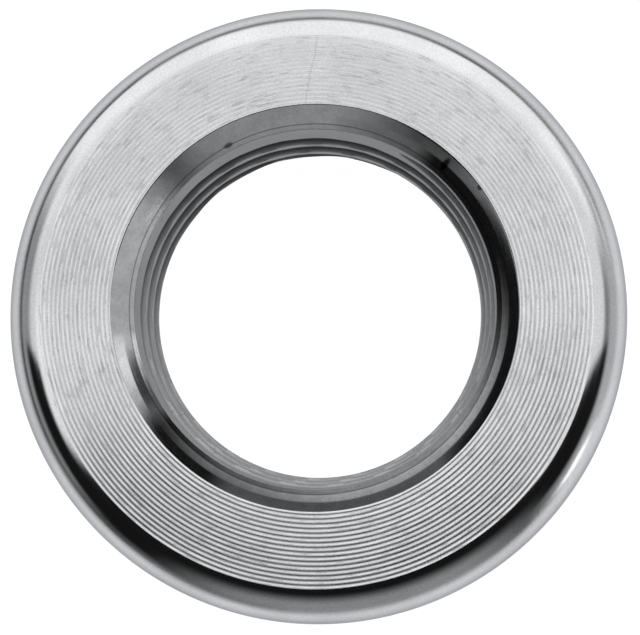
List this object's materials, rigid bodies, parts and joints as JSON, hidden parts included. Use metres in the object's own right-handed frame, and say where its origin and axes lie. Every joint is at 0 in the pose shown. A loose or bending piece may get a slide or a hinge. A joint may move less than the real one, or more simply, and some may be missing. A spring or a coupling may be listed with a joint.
{
  "type": "shaft collar",
  "caption": "Threaded shaft collar: a turned steel ring with a threaded bore, locked by radial set screws on soft steel pads.",
  "frame": {"origin": "on the bore axis, in the plane of the rear face, on which the collar rests", "axes": "+Z along the bore axis, out of the front face; -Y halfway between the set screws"},
  "size_m": [0.032, 0.032, 0.007],
  "materials": {
    "turned_steel": "fine turned, with polished shoulders",
    "black_alloy_steel": "black oxide, lightly oiled",
    "soft_steel": "turned, unhardened, tapped together with the bore"
  },
  "bodies": {
    "collar": {"collar_ring": "turned_steel"},
    "pad_left": {"thread_pad_left": "soft_steel"},
    "screw_left": {"set_screw_left": "black_alloy_steel"},
    "pad_right": {"thread_pad_right": "soft_steel"},
    "screw_right": {"set_screw_right": "black_alloy_steel"}
  },
  "joints": [
    {"name": "pad_left_travel", "type": "slide", "parent": "collar", "child": "pad_left", "axis": [0.7071, 0.7071, 0], "range_m": [-0.0007, 0.00035]},
    {"name": "screw_left_turn", "type": "hinge", "parent": "pad_left", "child": "screw_left", "pos_m": [-0.01131, -0.01131, 0.0035], "axis": [0.7071, 0.7071, 0], "range_deg": [-360.1, 180.1]},
    {"name": "pad_right_travel", "type": "slide", "parent": "collar", "child": "pad_right", "axis": [-0.7071, 0.7071, 0], "range_m": [-0.0007, 0.00035]},
    {"name": "screw_right_turn", "type": "hinge", "parent": "pad_right", "child": "screw_right", "pos_m": [0.01131, -0.01131, 0.0035], "axis": [-0.7071, 0.7071, 0], "range_deg": [-360.1, 180.1]}
  ],
  "couplings": [
    {"joint": "screw_left_turn", "follows": "pad_left_travel", "rad_per_m": 8976},
    {"joint": "screw_right_turn", "follows": "pad_right_travel", "rad_per_m": 8976}
  ]
}
